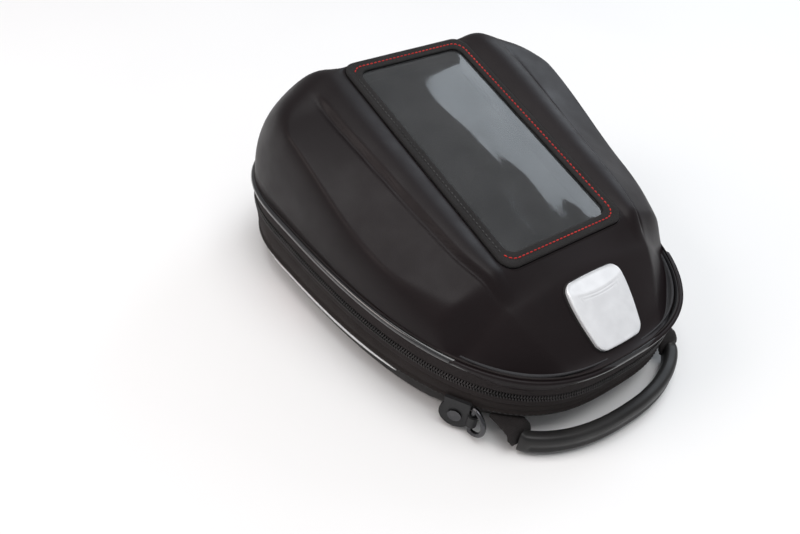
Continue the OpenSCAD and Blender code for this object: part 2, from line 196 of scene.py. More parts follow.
def even_angles(count, first=0.0, last=2 * math.pi, closed=True):
    """Angles at even distances along the outline between two angles."""
    dense = np.linspace(first, last, 20001)
    x, y = outline(dense)
    run = np.concatenate(([0], np.cumsum(np.hypot(np.diff(x), np.diff(y)))))
    return np.interp(np.linspace(0, run[-1], count + (1 if closed else 0)), run, dense)[:count]


def outline_length(first=0.0, last=2 * math.pi):
    x, y = outline(np.linspace(first, last, 20001))
    return np.hypot(np.diff(x), np.diff(y)).sum()


# ---- Lid deck: height of the top surface over (x, y) ----
SPINE = soft_curve([(-143, 52), (-137, 53.4), (-132, 56), (-97, 81.5), (-77, 90.5), (89, 133), (98, 132),
                    (143, 120)], 2.2)
CREASE = soft_curve([(-143, 36), (-126, 45), (-107.5, 56), (-90, 62), (-75, 65.5), (-59, 70), (-6, 75),
                     (49, 80), (75, 81), (143, 82)], 5)
RIDGE_FOOT = FRAME_X + 1


def deck(x, y):
    v = np.abs(x)
    b = CREASE(y)
    panel = smooth(-77, -95, y)
    u = np.clip((v - RIDGE_FOOT) / np.maximum(b - RIDGE_FOOT, 8), 0, 1)
    ridge = (2 + 2.2 * smooth(-60, 80, y)) * (1 - panel) * np.sin(math.pi * u ** 1.15) ** 0.85
    slope = 0.44 + 0.2 * panel - 0.3 * smooth(-30, 62, y)
    crisp = smooth(85, 65, y)
    step = 2.0 * (1 - panel) * crisp * smooth(-2.6, 0.5, v - b)
    groove = (1.2 - 1.0 * panel) * crisp * np.exp(-((v - b - 0.6) / 1.3) ** 2)
    beyond = np.maximum(0, v - b)
    return SPINE(y) - 6 * panel * (x / b) ** 2 + ridge - beyond * slope - step - groove


def shoulder(y):
    return 7 + 41 * smooth(55, 118, y) + 16 * smooth(-35, -125, y)


def squareness(x, y):
    corner = 1.1 + 1.1 * smooth(60, 105, np.abs(x))
    return mix(2.3 + 0.5 * smooth(-80, 0, y), corner, smooth(75, 115, y))


def wall_rise(f, x, y):
    q = squareness(x, y)
    return (1 - (1 - f) ** q) ** (1 / q)


def round_rect_distance(x, y, half_x, half_y, r):
    dx = np.abs(x) - (half_x - r)
    dy = np.abs(y) - (half_y - r)
    outside = np.hypot(np.maximum(dx, 0), np.maximum(dy, 0))
    return outside + np.minimum(np.maximum(dx, dy), 0) - r


def window_ring(x, y, half_x, half_y, r):
    """Where the lines from the window's middle to the points (x, y) cross a round-cornered rectangle."""
    flat_y = half_y * math.cos(WINDOW_SLOPE)
    low, high = np.zeros_like(x), np.ones_like(x)
    for _ in range(40):
        middle = (low + high) / 2
        d = round_rect_distance(x * middle, (y - WINDOW_AT.y) * middle, half_x, flat_y, r)
        low = np.where(d < 0, middle, low)
        high = np.where(d < 0, high, middle)
    return x * low, WINDOW_AT.y + (y - WINDOW_AT.y) * low


def window_z(y, lift=0.0):
    return WINDOW_AT.z + (y - WINDOW_AT.y) * math.tan(WINDOW_SLOPE) + lift


def lid_grid(d, drop, count, wall_rows, deck_rows, edge):
    """Rows of points from the lid's foot up the wall and over the deck to a window edge.

    d moves the wall inward, drop lowers the deck, and edge is the window rectangle's half size and corner.
    """
    a = even_angles(count)
    x0, y0 = inset(a, d)
    centre_y = WIDE_Y - 40
    reach = np.hypot(x0, y0 - centre_y)
    start_y = outline(a)[1]
    width = shoulder(start_y) - (d - SHELL_INSET) * farness(start_y)
    rows = []
    for f in np.linspace(0, 1, wall_rows) ** 1.9:
        k = f * width / reach
        x, y = x0 * (1 - k), y0 + (centre_y - y0) * k
        foot = rim_z(y) + PIPE_R + 0.1
        rows.append((x, y, foot + (deck(x, y) - drop - foot) * wall_rise(f, *outline(a))))
    x1, y1, _ = rows[-1]
    xw, yw = window_ring(x1, y1, *edge)
    for t in np.linspace(0, 1, deck_rows + 1)[1:]:
        x, y = mix(x1, xw, t), mix(y1, yw, t)
        rows.append((x, y, deck(x, y) - drop))
    return soften(np.array([xyz(*row) for row in rows]))


def soften(rows, reach=9):
    """Evens out the heights round the hinge end, where the wall, the ridges and the corners meet."""
    z = rows[:, :, 2]
    kernel = np.hanning(2 * reach + 3)[1:-1]
    kernel /= kernel.sum()
    even = sum(k * np.roll(z, s, 1) for k, s in zip(kernel, range(-reach, reach + 1)))
    t = np.linspace(0, 1, len(rows))[:, None]
    weight = smooth(55, 90, rows[:, :, 1]) * smooth(0, 0.2, t) * smooth(1, 0.6, t)
    rows[:, :, 2] = mix(z, even, weight)
    return rows


# ---- Meshes ----
def new_object(name, data):
    obj = bpy.data.objects.new(name, data)
    bpy.context.scene.collection.objects.link(obj)
    return obj


def finish_mesh(obj, material):
    work = bmesh.new()
    work.from_mesh(obj.data)
    bmesh.ops.remove_doubles(work, verts=work.verts, dist=1e-7)
    bmesh.ops.recalc_face_normals(work, faces=work.faces)
    work.to_mesh(obj.data)
    work.free()
    for face in obj.data.polygons:
        face.use_smooth = True
    obj.data.materials.append(material)
    return obj


def grid(name, points, material, around=False, along=False, caps=False):
    """Quad mesh over rows of points in mm. around closes each row, along joins the last row to the first."""
    points = np.asarray(points, float)
    rows, columns = points.shape[:2]
    faces, uvs = [], []
    down = np.linalg.norm(np.diff(points, axis=0, append=points[:1]), axis=2).mean(1)
    across = np.linalg.norm(np.diff(points, axis=1, append=points[:, :1]), axis=2).mean(0)
    v = np.concatenate(([0], np.cumsum(down))) * MM
    u = np.concatenate(([0], np.cumsum(across))) * MM
    for i in range(rows if along else rows - 1):
        for j in range(columns if around else columns - 1):
            p, q = (i + 1) % rows, (j + 1) % columns
            faces.append((i * columns + j, i * columns + q, p * columns + q, p * columns + j))
            uvs += [(u[j], v[i]), (u[j + 1], v[i]), (u[j + 1], v[i + 1]), (u[j], v[i + 1])]
    if caps:
        for row in (0, rows - 1):
            faces.append([row * columns + j for j in range(columns)])
            uvs += [(points[row, j, 0] * MM, points[row, j, 2] * MM) for j in range(columns)]
    mesh = bpy.data.meshes.new(name)
    mesh.from_pydata((points.reshape(-1, 3) * MM).tolist(), [], faces)
    layer = mesh.uv_layers.new(name="UVMap")
    layer.data.foreach_set("uv", np.array(uvs, float).ravel())
    return finish_mesh(new_object(name, mesh), material)


def modify(obj, kind, **settings):
    modifier = obj.modifiers.new(kind.title(), kind)
    for key, value in settings.items():
        setattr(modifier, key, value)
    return modifier


def apply_all(obj):
    """Puts the object's modifiers into its mesh."""
    bpy.context.view_layer.update()
    shaped = obj.evaluated_get(bpy.context.evaluated_depsgraph_get())
    mesh = bpy.data.meshes.new_from_object(shaped)
    obj.modifiers.clear()
    obj.data = mesh
    return obj


def thicken(obj, thickness, offset=-1.0, even=True):
    modify(obj, "SOLIDIFY", thickness=thickness * MM, offset=offset, use_even_offset=even)
    return apply_all(obj)


def join(name, objects):
    """One object from several, keeping their materials."""
    work = bmesh.new()
    materials = []
    for obj in objects:
        mesh = obj.data
        start = len(work.faces)
        work.from_mesh(mesh)
        work.faces.ensure_lookup_table()
        for face in work.faces[start:]:
            material = mesh.materials[face.material_index]
            if material not in materials:
                materials.append(material)
            face.material_index = materials.index(material)
        bpy.data.objects.remove(obj)
    mesh = bpy.data.meshes.new(name)
    work.to_mesh(mesh)
    work.free()
    for material in materials:
        mesh.materials.append(material)
    return new_object(name, mesh)


def sweep(name, path, section, material, closed=False, up=(0, 0, 1)):
    """Carries a closed section of (outward, up) points in mm along a path of points in mm."""
    path = np.asarray(path, float)
    section = np.asarray(section, float)
    if closed:
        tangent = np.roll(path, -1, 0) - np.roll(path, 1, 0)
    else:
        tangent = np.gradient(path, axis=0)
    tangent /= np.linalg.norm(tangent, axis=1)[:, None]
    side = np.cross(tangent, np.array(up, float))
    side /= np.linalg.norm(side, axis=1)[:, None]
    top = np.cross(side, tangent)
    rings = path[:, None] + side[:, None] * section[None, :, :1] + top[:, None] * section[None, :, 1:]
    return grid(name, rings, material, around=True, along=closed, caps=not closed)


def circle(r, sides):
    b = np.arange(sides) * 2 * math.pi / sides
    return np.stack([r * np.cos(b), r * np.sin(b)], 1)


def place(name, body, piece, replaces=()):
    """Names a piece, and says what it rides on and the CAD nodes it stands for."""
    piece.name = name
    if body:
        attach(piece, body)
    if replaces:
        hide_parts(*replaces)
    return piece


def solid(name, verts, faces, material):
    mesh = bpy.data.meshes.new(name)
    mesh.from_pydata((np.array(verts) * MM).tolist(), [], faces)
    return finish_mesh(new_object(name, mesh), material)


def tube_faces(first, rings, sides):
    """Faces of a tube with closed ends, whose rings of points follow on from point first."""
    faces = []
    for i in range(rings - 1):
        row, after = first + i * sides, first + (i + 1) * sides
        for j in range(sides):
            q = (j + 1) % sides
            faces.append((row + j, row + q, after + q, after + j))
    for row in (first, first + (rings - 1) * sides):
        faces.append([row + j for j in range(sides)])
    return faces


def stitches(name, path, material, pitch=3.2, length=2.3, r=0.34, up=(0, 0, 1)):
    """Separate threads along a path of points in mm, each with its ends sunk in the fabric."""
    path = np.asarray(path, float)
    run = np.concatenate(([0], np.cumsum(np.linalg.norm(np.diff(path, axis=0), axis=1))))
    up = np.array(up, float) / np.linalg.norm(up)
    sides, steps = 6, 5
    verts, faces = [], []
    for k in range(int(run[-1] / pitch)):
        t = np.linspace(-0.5, 0.5, steps)
        at = k * pitch + pitch / 2 + t * length
        centre = np.stack([np.interp(at, run, path[:, i]) for i in range(3)], 1)
        along = centre[-1] - centre[0]
        along /= np.linalg.norm(along)
        side = np.cross(along, up)
        for i in range(steps):
            size = r * math.sqrt(max(0.1, 1 - (2 * t[i]) ** 4))
            sink = up * (-0.9 * r * (2 * t[i]) ** 2)
            for j in range(sides):
                b = 2 * math.pi * j / sides
                verts.append(centre[i] + sink + size * (side * math.cos(b) + up * math.sin(b)))
        faces += tube_faces(len(verts) - sides * steps, steps, sides)
    return solid(name, verts, faces, material)


def swell(obj, voxel, pressure, cap, free):
    """Blows a closed piece up with a short cloth simulation; free tells which points, in mm, may rise."""
    modify(obj, "REMESH", mode="VOXEL", voxel_size=voxel * MM)
    apply_all(obj)
    start = np.array([v.co for v in obj.data.vertices])
    moves = np.array([free(*(p / MM)) for p in start])
    held = obj.vertex_groups.new(name="held")
    held.add([int(i) for i in np.nonzero(~moves)[0]], 1.0, "REPLACE")
    cloth = modify(obj, "CLOTH")
    cloth.settings.vertex_group_mass = "held"
    cloth.settings.use_pressure = True
    cloth.settings.uniform_pressure_force = pressure
    cloth.settings.effector_weights.gravity = 0
    for step in range(1, 21):
        bpy.context.scene.frame_set(step)
    apply_all(obj)
    bpy.context.scene.frame_set(1)
    for vertex, was, moving in zip(obj.data.vertices, start, moves):
        rise = min(max(vertex.co.z - was[2], 0), cap * MM) if moving else 0
        vertex.co = (was[0], was[1], was[2] + rise)
    modify(obj, "SUBSURF", levels=1, render_levels=1)
    return apply_all(obj)


# ---- Materials ----
class Nodes:
    """Short names for building a shader."""

    def __init__(self, name):
        self.material = bpy.data.materials.new(name)
        self.material.use_nodes = True
        self.tree = self.material.node_tree
        self.shader = self.tree.nodes["Principled BSDF"]
        self.height = None

    def link(self, a, b):
        self.tree.links.new(a, b)

    def add(self, kind, inputs, **settings):
        """A node of a kind, each of its inputs linked to another node's output or set to a value."""
        node = self.tree.nodes.new(kind)
        for key, value in settings.items():
            setattr(node, key, value)
        for key, value in inputs.items():
            if isinstance(value, bpy.types.NodeSocket):
                self.link(value, node.inputs[key])
            else:
                node.inputs[key].default_value = value
        return node

    def coordinates(self, uv=False, turn=0.0):
        at = self.add("ShaderNodeTexCoord", {}).outputs["UV" if uv else "Object"]
        return self.add("ShaderNodeMapping", {"Vector": at, "Rotation": (0, 0, turn)}).outputs["Vector"]

    def noise(self, vector, scale, detail):
        node = self.add("ShaderNodeTexNoise", {"Vector": vector, "Scale": scale, "Detail": detail})
        return node.outputs["Fac"]

    def cells(self, vector, scale):
        node = self.add("ShaderNodeTexVoronoi", {"Vector": vector, "Scale": scale}, feature="SMOOTH_F1")
        return node.outputs["Distance"]

    def weave(self, vector, width, height):
        """Staggered blocks, width by height in metres, as in webbing and zip tape."""
        node = self.add("ShaderNodeTexBrick", {
            "Vector": vector, "Scale": 1.0, "Brick Width": width, "Row Height": height,
            "Mortar Size": 0.12 * height, "Mortar Smooth": 1.0, "Color1": (1, 1, 1, 1),
            "Color2": (0.75, 0.75, 0.75, 1), "Mortar": (0, 0, 0, 1)}, offset=0.5)
        return node.outputs["Color"]

    def spread(self, value, low, high):
        """Turns the middle part of a pattern's range into values between low and high."""
        node = self.add("ShaderNodeMapRange", {
            "Value": value, "From Min": 0.3, "From Max": 0.7, "To Min": low, "To Max": high})
        return node.outputs["Result"]

    def two_tone(self, value, first, second, start=0.35, stop=0.65):
        node = self.add("ShaderNodeValToRGB", {"Fac": value})
        node.color_ramp.elements[0].position = start
        node.color_ramp.elements[0].color = (*first, 1)
        node.color_ramp.elements[1].position = stop
        node.color_ramp.elements[1].color = (*second, 1)
        self.link(node.outputs["Color"], self.shader.inputs["Base Color"])

    def roughness(self, value, low, high):
        self.link(self.spread(value, low, high), self.shader.inputs["Roughness"])

    def bump(self, value, depth):
        """Adds relief of a depth in millimetres on top of what is there already."""
        node = self.add("ShaderNodeBump", {"Distance": depth * MM, "Height": value})
        if self.height:
            self.link(self.height, node.inputs["Normal"])
        self.height = node.outputs["Normal"]
        self.link(self.height, self.shader.inputs["Normal"])

    def set(self, **values):
        for key, value in values.items():
            self.shader.inputs[key.replace("_", " ")].default_value = value
        return self.material


def finish(name, tone, dark, light, rough, relief, **values):
    """A material with mottled colour, roughness and relief.

    tone is the colour noise's scale and detail, rough the same and the roughness's range. Each relief is a
    scale, a detail and a depth in mm, and a detail of 0 gives cells in place of noise.
    """
    m = Nodes(name)
    at = m.coordinates()
    m.two_tone(m.noise(at, *tone), dark, light)
    m.roughness(m.noise(at, *rough[:2]), *rough[2:])
    for scale, detail, depth in relief:
        m.bump(m.noise(at, scale, detail) if detail else m.cells(at, scale), depth)
    return m.set(**values)


def eva_shell():
    return finish("eva_shell", (9, 4), (0.0075, 0.0048, 0.0054), (0.0110, 0.0070, 0.0078), (60, 5, 0.4, 0.5),
                  [(16, 2, 0.35), (1500, 2, 0.03), (2100, 0, 0.025)], Specular_IOR_Level=0.17)


def tray_eva():
    return finish("tray_eva", (12, 4), (0.0085, 0.0070, 0.0070), (0.0125, 0.0105, 0.0100),
                  (70, 5, 0.46, 0.58), [(1300, 0, 0.05), (900, 3, 0.03)], Specular_IOR_Level=0.22)


def fabric(name, dark, light, width, height, depth, turn=0.0, uv=True):
    """Woven cloth, its threads width by height in millimetres."""
    m = Nodes(name)
    at = m.coordinates(uv=uv, turn=turn)
    place_at = m.coordinates()
    threads = m.weave(at, width * MM, height * MM)
    stains = m.noise(place_at, 45, 4)
    blend = m.add("ShaderNodeMix", {"Factor": 0.35, "A": threads, "B": stains}, data_type="FLOAT")
    m.two_tone(blend.outputs["Result"], dark, light, 0.2, 0.85)
    m.roughness(m.noise(place_at, 90, 4), 0.72, 0.9)
    m.bump(m.noise(place_at, 2500, 2), 0.03)
    m.bump(threads, depth)
    return m.set(Sheen_Weight=0.03, Sheen_Roughness=0.5, Specular_IOR_Level=0.16)


def rubber(name, dark, light, rough=(0.38, 0.5), grain=1200, depth=0.03, coat=0.0):
    return finish(name, (35, 4), dark, light, (80, 5, *rough), [(grain, 0, depth)], Coat_Weight=coat,
                  Coat_Roughness=0.12, Specular_IOR_Level=0.3)


def metal(name, dark, light, rough=(0.22, 0.34)):
    return finish(name, (62.5, 3), dark, light, (125, 4, *rough), [(500, 3, 0.008)], Metallic=1.0)


def badge_finish():
    return finish("badge_silver", (90, 3), (0.80, 0.81, 0.83), (0.88, 0.89, 0.91), (200, 4, 0.34, 0.42),
                  [(3000, 2, 0.006)], Metallic=0.3)


def clear_film():
    return finish("window_film", (30, 3), (0.26, 0.27, 0.28), (0.34, 0.35, 0.36), (25, 4, 0.03, 0.09),
                  [(60, 2, 0.02)], Transmission_Weight=0.9, IOR=1.45, Specular_IOR_Level=0.5)


def trim_film(name, dark, light, metallic):
    return finish(name, (120, 3), dark, light, (160, 3, 0.26, 0.36), [(1800, 2, 0.01)], Metallic=metallic,
                  Coat_Weight=0.2, Coat_Roughness=0.15)


SHELL = eva_shell()
TRAY = tray_eva()
PIPING = rubber("piping", (0.010, 0.010, 0.011), (0.018, 0.018, 0.019), (0.16, 0.24), 700, 0.015, 1.0)
GUSSET = fabric("side_fabric", (0.006, 0.005, 0.005), (0.028, 0.022, 0.021), 1.1, 0.55, 0.12)
TAPE = fabric("zip_tape", (0.006, 0.005, 0.005), (0.030, 0.024, 0.024), 1.5, 0.6, 0.14, turn=0.6)
COIL = rubber("zip_coil", (0.012, 0.011, 0.011), (0.030, 0.026, 0.026), (0.30, 0.42), 900, 0.02)
POCKET = fabric("pocket_cloth", (0.016, 0.016, 0.017), (0.022, 0.022, 0.023), 0.4, 0.4, 0.008)
LINING = fabric("lining", (0.045, 0.045, 0.048), (0.085, 0.085, 0.090), 0.5, 0.5, 0.05)
BOARD = fabric("board", (0.020, 0.020, 0.022), (0.045, 0.045, 0.048), 0.9, 0.9, 0.1, uv=False)
STIFFENER = rubber("stiffener", (0.06, 0.06, 0.065), (0.08, 0.08, 0.085), (0.45, 0.6), 500, 0.02)
LOCK = rubber("lock_plastic", (0.014, 0.014, 0.015), (0.022, 0.022, 0.024), (0.34, 0.46), 1500, 0.03)
PAD = rubber("pad_rubber", (0.018, 0.018, 0.018), (0.028, 0.028, 0.028), (0.6, 0.75), 800, 0.06)
TAB = rubber("tab_rubber", (0.012, 0.012, 0.013), (0.020, 0.020, 0.021), (0.42, 0.55), 1400, 0.04)
GRIP = rubber("grip_rubber", (0.0125, 0.012, 0.012), (0.020, 0.019, 0.019), (0.36, 0.48), 1600, 0.035)
BORDER = fabric("window_border", (0.006, 0.006, 0.006), (0.026, 0.024, 0.024), 0.8, 0.5, 0.07)
WEBBING = fabric("webbing", (0.005, 0.005, 0.005), (0.030, 0.026, 0.026), 1.7, 1.0, 0.22)
STRAP_RED = fabric("release_webbing", (0.10, 0.008, 0.006), (0.34, 0.030, 0.022), 1.7, 1.0, 0.2)
THREAD_RED = rubber("thread_red", (0.42, 0.012, 0.010), (0.60, 0.030, 0.022), (0.5, 0.62), 3000, 0.05)
# Dark thread for the gusset hem and board seam; on the window's left side it is painted shade over what is
# red stitching.
DARK_THREAD_AND_PAINTED_SHADE = rubber("thread_dark_and_painted_shade", (0.02, 0.02, 0.02), (0.05, 0.05, 0.05), (0.5, 0.62), 3000, 0.05)
FILM = clear_film()
BADGE = badge_finish()
SILVER = trim_film("silver_trim", (0.68, 0.69, 0.70), (0.78, 0.79, 0.80), 0.1)
RED = trim_film("red_trim", (0.50, 0.018, 0.008), (0.66, 0.035, 0.015), 0.0)
STEEL = metal("steel", (0.45, 0.45, 0.46), (0.60, 0.60, 0.62))
DARK_METAL = metal("dark_metal", (0.055, 0.055, 0.060), (0.10, 0.10, 0.105), (0.2, 0.32))
STUD = metal("stud_metal", (0.36, 0.36, 0.37), (0.48, 0.48, 0.49), (0.3, 0.45))


# ---- Lid ----
def make_lid_shell():
    rows = list(lid_grid(SHELL_INSET, 0, 340, 26, 38, (FRAME_X + 0.6, FRAME_Y + 0.6, 10.5)))
    outer = rows[-1]
    for lift, out in ((-0.5, 0.35), (-1.05, 0.0)):
        x, y = window_ring(outer[:, 0], outer[:, 1], FRAME_X + 0.1 + out, FRAME_Y + 0.1 + out, 10)
        rows.append(xyz(x, y, window_z(y, lift)))
    for t in (0.3, 0.7, 1.0):
        half_x, half_y = FRAME_X - BAND * t, FRAME_Y - BAND * t
        x, y = window_ring(outer[:, 0], outer[:, 1], half_x, half_y, 10 - 3 * t)
        rows.append(xyz(x, y, window_z(y, -1.05)))
    shell = grid("lid_shell_skin", rows, SHELL, around=True)
    return place("lid_shell_skin", "lid", thicken(shell, SHELL_WALL), ["lid_shell"])


def make_lid_lining():
    rows = lid_grid(SHELL_INSET + SHELL_WALL + 0.9, SHELL_WALL + 1.2, 200, 14, 16, (50, 88, 7))
    for row in rows[2:-1]:
        for p in row:
            p[2] -= 0.5 * (1 + noise.noise(Vector(p) / 17))
    lining = grid("lid_lining_cloth", rows, LINING, around=True)
    return place("lid_lining_cloth", "lid", thicken(lining, 0.8, even=False), ["lid_lining"])


def make_piping():
    a = even_angles(420)
    x, y = inset(a, PIPE_INSET)
    path = xyz(x, y, rim_z(y))
    tube = sweep("piping_cord", path, circle(PIPE_R, 14), PIPING, closed=True)
    rows = []
    for lift, d in ((1.7, 1.4), (2.0, 0.95), (2.9, 0.85), (3.3, 0.95), (3.4, 1.5)):
        x, y = inset(a, d)
        rows.append(xyz(x, y, rim_z(y) + lift))
    welt = grid("welt", rows, TAPE, around=True)
    return place("lid_piping_cord", "lid", join("piping", [tube, welt]), ["lid_piping"])


def on_slope(at, slope, x, y, z):
    """Points given in the axes of a plane through at that slopes up towards +Y, in the frame's axes."""
    c, s = math.cos(slope), math.sin(slope)
    return xyz(x, at.y + y * c - z * s, at.z + y * s + z * c)


def window_local(x, y, z):
    return on_slope(WINDOW_AT, WINDOW_SLOPE, x, y, z)


def rect_loop(half_x, half_y, r, per_corner=10, per_side=24):
    """Points round a rectangle with round corners, counter-clockwise from its right side."""
    points = []
    corners = [(1, 1, 0), (-1, 1, 90), (-1, -1, 180), (1, -1, 270)]
    for i, (sx, sy, start) in enumerate(corners):
        cx, cy = sx * (half_x - r), sy * (half_y - r)
        for b in np.radians(np.linspace(start, start + 90, per_corner)):
            points.append((cx + r * math.cos(b), cy + r * math.sin(b)))
        nx, ny, first = corners[(i + 1) % 4]
        b = math.radians(first)
        after = np.array([nx * (half_x - r) + r * math.cos(b), ny * (half_y - r) + r * math.sin(b)])
        here = np.array(points[-1])
        for t in np.linspace(0, 1, per_side + 1)[1:-1]:
            points.append(tuple(mix(here, after, t)))
    return np.array(points)


def make_window_frame():
    """Folded cloth band: a low outer roll, the stitched flat, and a thin inner lip over the film."""
    profile = [(0.0, -0.2), (0.05, 0.6), (0.5, 1.15), (1.3, 1.4), (2.3, 1.35), (3.4, 1.1), (4.8, 0.85),
               (6.0, 1.0), (7.0, 1.1), (8.2, 0.95), (8.9, 0.6), (9.0, 0.1), (8.6, 0.02), (0.6, 0.02)]
    rows = []
    for d, lift in profile:
        loop = rect_loop(FRAME_X - d, FRAME_Y - d, max(10 - 0.33 * d, 5))
        ripple = np.array([0.12 * noise.noise(Vector((p[0] / 9, p[1] / 9, d))) for p in loop])
        rows.append(window_local(*loop.T, lift + ripple * (lift > 0.5)))
    band = grid("window_band", rows, BORDER, around=True, along=True)
    return place("window_binding", "lid", band, ["window_frame"])


def make_window_stitches():
    seam_d = 4.9
    loop = rect_loop(FRAME_X - seam_d, FRAME_Y - seam_d, 8.5)
    left = loop[:, 0] < -(FRAME_X - seam_d) + 0.4
    left_side = loop[left]
    left_side = left_side[np.argsort(left_side[:, 1])]
    others = np.roll(loop, -(np.nonzero(left)[0][-1] + 1), 0)[:len(loop) - left.sum()]
    up = (0, -math.sin(WINDOW_SLOPE), math.cos(WINDOW_SLOPE))
    lift = 1.05
    red = stitches("red", window_local(*others.T, lift), THREAD_RED, 3.1, 2.5, 0.45, up)
    # The left side's stitches are the same red thread as the rest, drawn dark grey: painted shade where that
    # side lies in shadow.
    dark = stitches("dark", window_local(*left_side.T, lift), DARK_THREAD_AND_PAINTED_SHADE, 3.1, 2.4, 0.4, up)
    place("window_stitching_red", "lid", red)
    place("window_stitching_painted_shade", "lid", dark)


def film_height(x, y):
    """How the clear film stands over its plane: a soft crown with long shallow waves, flat at its edges."""
    u, v = abs(x) / (FRAME_X - BAND + 1), abs(y) / (FRAME_Y - BAND + 1)
    hold = max(0.0, 1 - u * u) * max(0.0, 1 - v ** 6)
    long_wave = noise.noise(Vector((x / 34, y / 90, 0.7)))
    short_wave = noise.noise(Vector((x / 20 + 5, y / 34, 2.1)))
    return hold * (1.7 + 1.3 * long_wave) + 0.45 * min(1.0, 3 * hold) * short_wave


def make_window_film():
    half_x, half_y = FRAME_X - BAND + 3.6, FRAME_Y - BAND + 3.6
    rows = []
    for y in np.linspace(-half_y, half_y, 150):
        x = np.linspace(-half_x, half_x, 84)
        z = np.array([-0.75 + film_height(v, y) for v in x])
        rows.append(window_local(x, y, z))
    film = grid("film", rows, FILM)
    film = place("window_film_sheet", "lid", thicken(film, 0.4), ["window_film"])
    return film


# ---- Badge ----
BADGE_SIDE = [(-23.0, 17.6), (-19, 18.9), (-4, 21.8), (8, 23.0), (16.5, 22.6), (20.5, 21.8)]


def badge_loop(grow, count=120):
    """Outline of the badge: a soft rectangle, wider towards the window, with bulging sides."""
    r = 5.5
    low, high = BADGE_SIDE[0][0], BADGE_SIDE[-1][0]
    half_y, mid_y = (high - low) / 2, (high + low) / 2
    loop = rect_loop(20 + grow, half_y + grow, r, count // 10, count // 6)
    width = soft_curve(BADGE_SIDE, 3)
    y = loop[:, 1] + mid_y
    bulge = 0.9 * (1 - (loop[:, 0] / 20) ** 2) * np.sign(loop[:, 1]) * (np.abs(loop[:, 1]) > half_y - r)
    return np.stack([loop[:, 0] * width(y) / 20, y + bulge * 0.8], 1)


def badge_local(x, y, z):
    return on_slope(BADGE_AT, BADGE_SLOPE, x, y, z)


def badge_face(x, y):
    """Crowned face with a tilted facet at the top and two fine grooves below its fold."""
    fold = 11 + 0.006 * x * x
    z = 3.5 - 0.0016 * x * x - 0.0005 * (y - 2) ** 2
    z = z - 0.30 * np.maximum(0, y - fold)
    for line in (fold - 1.6, fold - 3.4):
        z = z - 0.22 * np.exp(-((y - line) / 0.32) ** 2) * (np.abs(x) < 17.5)
    return z


def make_badge():
    rim = badge_loop(0)
    middle = np.array([0, -1.25])
    rows = []
    for lift in (-1.2, 0.5, 1.4):
        rows.append(badge_local(*rim.T, lift))
    edge_z = badge_face(*(rim - (rim - middle) * 0.06).T)
    for d, share in ((0.04, 0.45), (0.25, 0.72), (0.6, 0.9), (1.1, 0.985)):
        p = rim - (rim - middle) * d / 20
        rows.append(badge_local(*p.T, mix(1.4, edge_z, share)))
    for k in np.linspace(0.93, 0.0, 60):
        p = middle + (rim - middle) * k
        rows.append(badge_local(*p.T, badge_face(*p.T)))
    badge = grid("badge", rows, BADGE, around=True)
    gasket = [(0.7, -1.6), (0.7, -0.2), (0.35, 0.1), (-0.6, 0.1)]
    skirt = [badge_local(*badge_loop(grow).T, z) for grow, z in gasket]
    bed = grid("badge_bed", skirt, BORDER, around=True)
    return place("badge_face", "lid", join("badge", [badge, bed]), ["badge_plate"])


# ---- Base ----
def tray_inset(t, y):
    return mix(13 + 9 * noseness(y), 4.5 + noseness(y) + 3 * farness(y), t ** 0.45)


def tray_point(a, z, d=0.0):
    y = outline(a)[1]
    t = np.clip((z - TRAY_LOW) / (TRAY_TOP - TRAY_LOW), 0, 1)
    return ring(a, tray_inset(t, y) + d, z)


def make_tray():
    """Moulded tray: a rounded wall with a stepped rim, and a floor with a raised seat for the lock ring."""
    a = even_angles(300)
    rows = []
    for t in np.linspace(0, 1, 16) ** 1.8:
        rows.append(tray_point(a, mix(TRAY_LOW, TRAY_TOP, t)))
    rows.append(tray_point(a, TRAY_TOP, 3.3))
    for t in (1.0, 0.6, 0.3):
        rows.append(tray_point(a, mix(TRAY_LOW + 3.5, TRAY_TOP - 0.4, t), 3.5))
    inner = tray_point(a, TRAY_LOW + 3.5, 7)
    rows.append(inner)
    x, y = inner[:, 0], inner[:, 1]
    reach = np.hypot(x, y)
    for r, z in ((83.5, 6.5), (81.5, 7.2), (81, 9), (80.4, 12.8), (79.4, 13.5)):
        k = np.minimum(r / reach, 0.985 - 0.01 * (84 - r))
        rows.append(xyz(x * k, y * k, z))
    rows.append(xyz(40 * x / reach, 40 * y / reach, 13.5))
    for r, z in ((40, 10.2), (76.9, 10.2), (76.9, TRAY_LOW)):
        k = np.minimum(r / reach, 0.985)
        rows.append(xyz(x * k, y * k, z))
    tray = grid("tray", rows, TRAY, around=True, along=True)
    return place("base_tray_shell", "base", tray, ["base_tray"])


